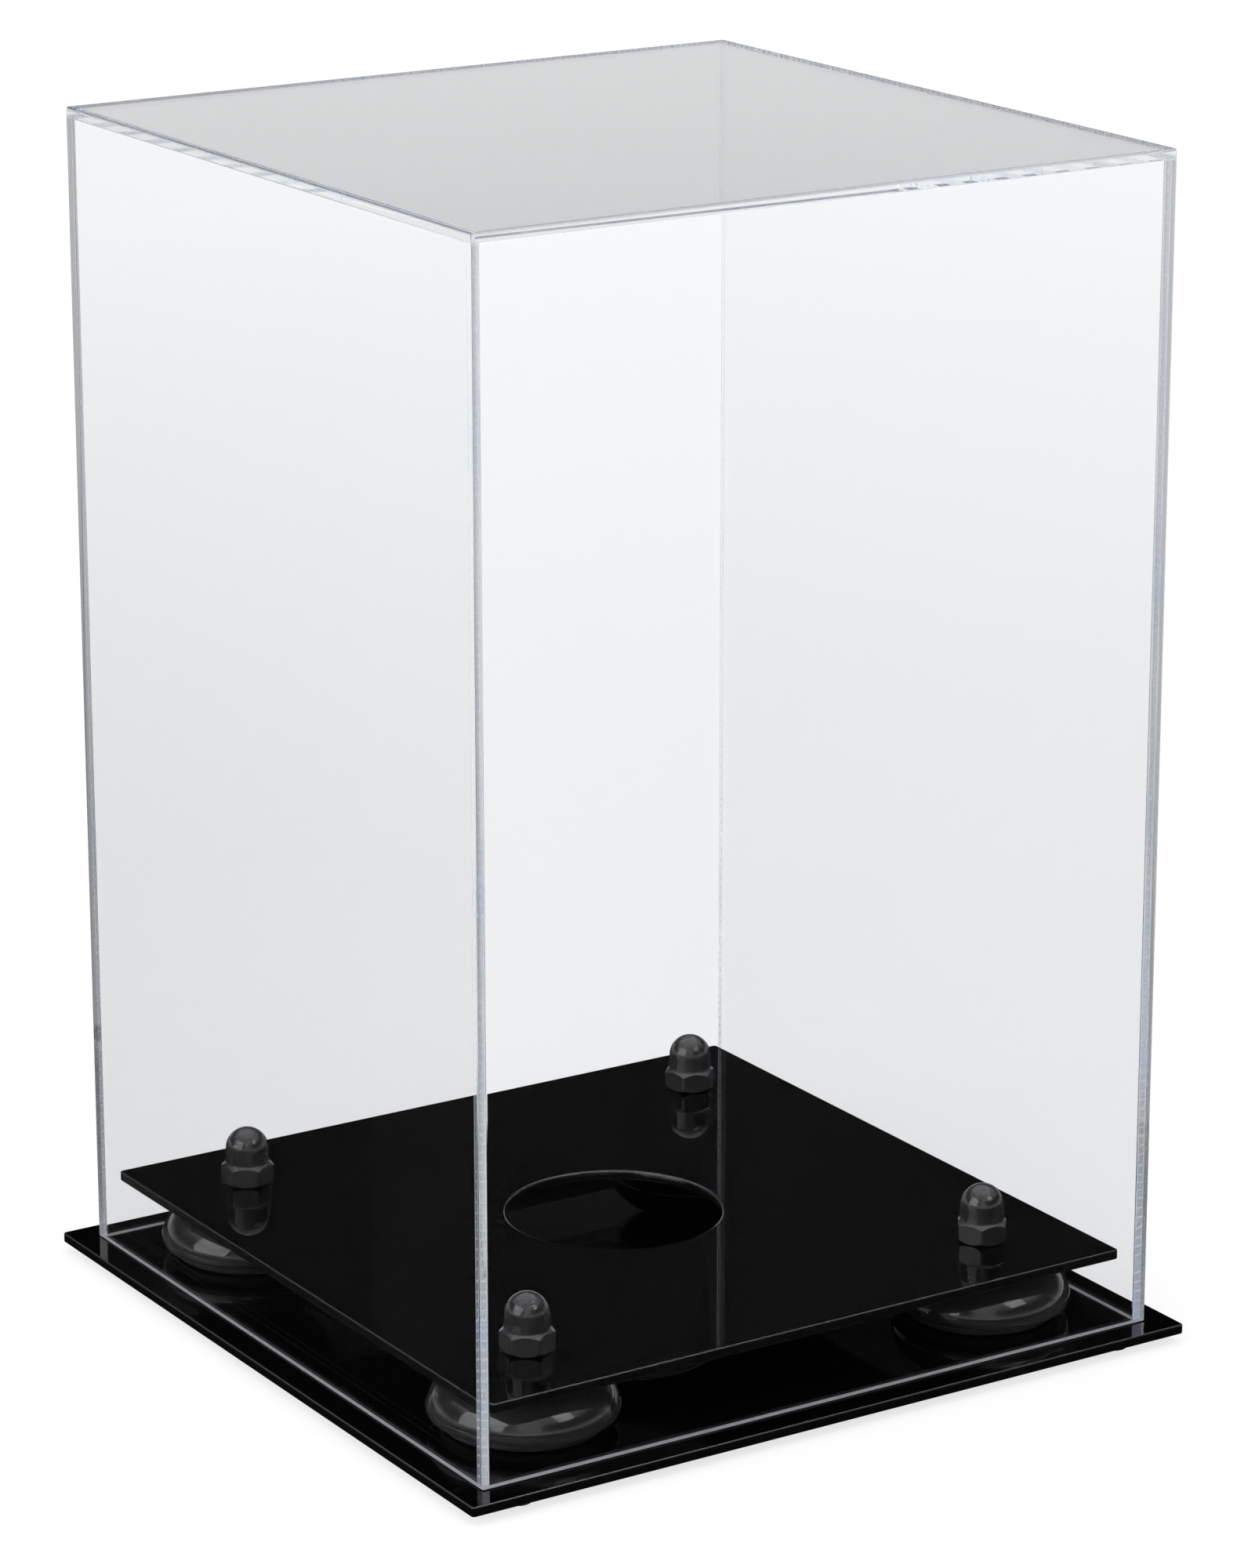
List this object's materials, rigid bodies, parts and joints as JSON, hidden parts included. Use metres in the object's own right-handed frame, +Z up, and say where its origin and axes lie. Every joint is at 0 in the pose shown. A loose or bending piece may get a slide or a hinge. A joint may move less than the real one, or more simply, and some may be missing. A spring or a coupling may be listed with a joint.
{
  "type": "ball display case",
  "caption": "Clear lift-off cover over a black base plate and a raised platform with a round seat that stands a rugby football on its end.",
  "frame": {"origin": "centre of the footprint, on the surface that the four bumper feet stand on", "axes": "+Z up, the height of the case; -Y is the front, +X is the right-hand side seen from the front"},
  "size_m": [0.225, 0.225, 0.3265],
  "materials": {
    "black_acrylic": "polished",
    "clear_acrylic": "polished",
    "riser_plastic": "gloss",
    "nut_plastic": "gloss",
    "foot_rubber": "matte",
    "sole_rubber": "matte",
    "stud_steel": "satin"
  },
  "bodies": {
    "stand": {"base_plate": "black_acrylic", "platform": "black_acrylic", "bumper_foot_front_left": "foot_rubber", "bumper_foot_front_right": "foot_rubber", "bumper_foot_back_left": "foot_rubber", "bumper_foot_back_right": "foot_rubber", "riser_front_left": "riser_plastic", "riser_front_right": "riser_plastic", "riser_back_left": "riser_plastic", "riser_back_right": "riser_plastic", "riser_sole_front_left": "sole_rubber", "riser_sole_front_right": "sole_rubber", "riser_sole_back_left": "sole_rubber", "riser_sole_back_right": "sole_rubber", "riser_stud_front_left": "stud_steel", "riser_stud_front_right": "stud_steel", "riser_stud_back_left": "stud_steel", "riser_stud_back_right": "stud_steel", "cap_nut_front_left": "nut_plastic", "cap_nut_front_right": "nut_plastic", "cap_nut_back_left": "nut_plastic", "cap_nut_back_right": "nut_plastic"},
    "cover": {"cover_top": "clear_acrylic", "cover_front": "clear_acrylic", "cover_back": "clear_acrylic", "cover_left": "clear_acrylic", "cover_right": "clear_acrylic"}
  },
  "joints": [
    {"name": "cover_lift", "type": "slide", "parent": "stand", "child": "cover", "axis": [0, 0, 1], "range_m": [0, 0.34]}
  ]
}
